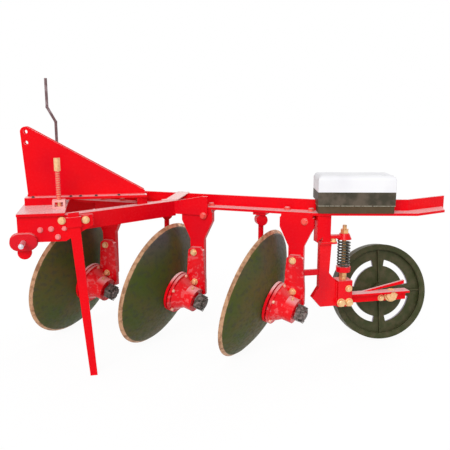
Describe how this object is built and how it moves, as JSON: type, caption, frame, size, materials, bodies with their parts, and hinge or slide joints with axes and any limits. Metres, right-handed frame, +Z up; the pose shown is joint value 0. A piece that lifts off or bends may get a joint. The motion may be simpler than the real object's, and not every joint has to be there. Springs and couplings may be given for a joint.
{
  "type": "disc plough",
  "caption": "Mounted disc plough with a diagonal beam, concave discs on leaning spindles, scrapers, a sprung furrow wheel, a parking stand and a three-point hitch.",
  "frame": {"origin": "middle of the parked plough's box, on the ground", "axes": "+X to the rear of the plough, +Y to its right-hand side, +Z up"},
  "size_m": [2.0697, 1.0444, 1.3521],
  "materials": {
    "red_paint": "gloss red enamel",
    "blade_steel": "dark oiled steel with a tan ground edge",
    "dark_cast": "dark cast iron",
    "plated_steel": "yellow zinc plate",
    "bare_steel": "bare steel",
    "spring_steel": "blued steel",
    "ballast_black": "satin black",
    "ballast_white": "satin white"
  },
  "bodies": {
    "frame": {"mast_plate_left": "red_paint", "mast_plate_right": "red_paint", "mast_foot_left": "red_paint", "mast_foot_right": "red_paint", "mast_spacer": "red_paint", "headstock_left_plate": "red_paint", "headstock_right_plate": "red_paint", "headstock_top_plate": "red_paint", "front_channel": "red_paint", "hitch_collar_left": "red_paint", "hitch_collar_right": "red_paint", "levelling_bracket": "red_paint", "crank_block": "red_paint", "stand_clamp": "red_paint", "main_beam": "red_paint", "side_brace": "red_paint", "joint_plate": "red_paint", "cross_tie": "red_paint", "standard_1": "red_paint", "standard_2": "red_paint", "standard_3": "red_paint", "bearing_bracket_1": "red_paint", "bearing_bracket_2": "red_paint", "bearing_bracket_3": "red_paint", "scraper_1": "red_paint", "scraper_2": "red_paint", "scraper_3": "red_paint", "wheel_hanger": "red_paint", "wheel_bracket": "red_paint", "strut_housing": "red_paint", "strut_collar": "red_paint", "strut_guide": "red_paint", "wheel_arm": "red_paint", "hitch_pin_left": "plated_steel", "hitch_pin_right": "plated_steel", "levelling_screw": "plated_steel", "strut_rod": "plated_steel", "crank_rod": "bare_steel", "wheel_axle": "bare_steel", "strut_spring": "spring_steel", "ballast_box": "ballast_black", "ballast_lid": "ballast_white"},
    "disc_1": {"disc_blade_1": "blade_steel", "disc_hub_1": "red_paint", "castle_nut_1": "dark_cast"},
    "disc_2": {"disc_blade_2": "blade_steel", "disc_hub_2": "red_paint", "castle_nut_2": "dark_cast"},
    "disc_3": {"disc_blade_3": "blade_steel", "disc_hub_3": "red_paint", "castle_nut_3": "dark_cast"},
    "wheel": {"furrow_wheel": "dark_cast"},
    "stand": {"stand_leg": "red_paint"}
  },
  "joints": [
    {"name": "disc_1_spin", "type": "hinge", "parent": "frame", "child": "disc_1", "pos_m": [-0.793, 0.265, 0.31843], "axis": [0.7365, -0.629, -0.2487], "continuous": true},
    {"name": "disc_2_spin", "type": "hinge", "parent": "frame", "child": "disc_2", "pos_m": [-0.36, 0, 0.31843], "axis": [0.7365, -0.629, -0.2487], "continuous": true},
    {"name": "disc_3_spin", "type": "hinge", "parent": "frame", "child": "disc_3", "pos_m": [0.073, -0.265, 0.31843], "axis": [0.7365, -0.629, -0.2487], "continuous": true},
    {"name": "wheel_spin", "type": "hinge", "parent": "frame", "child": "wheel", "pos_m": [0.783, -0.15, 0.25193], "axis": [-0.0687, -0.9824, 0.1736], "continuous": true},
    {"name": "stand_slide", "type": "slide", "parent": "frame", "child": "stand", "axis": [-0.075, 0, 0.9972], "range_m": [0, 0.4]}
  ]
}
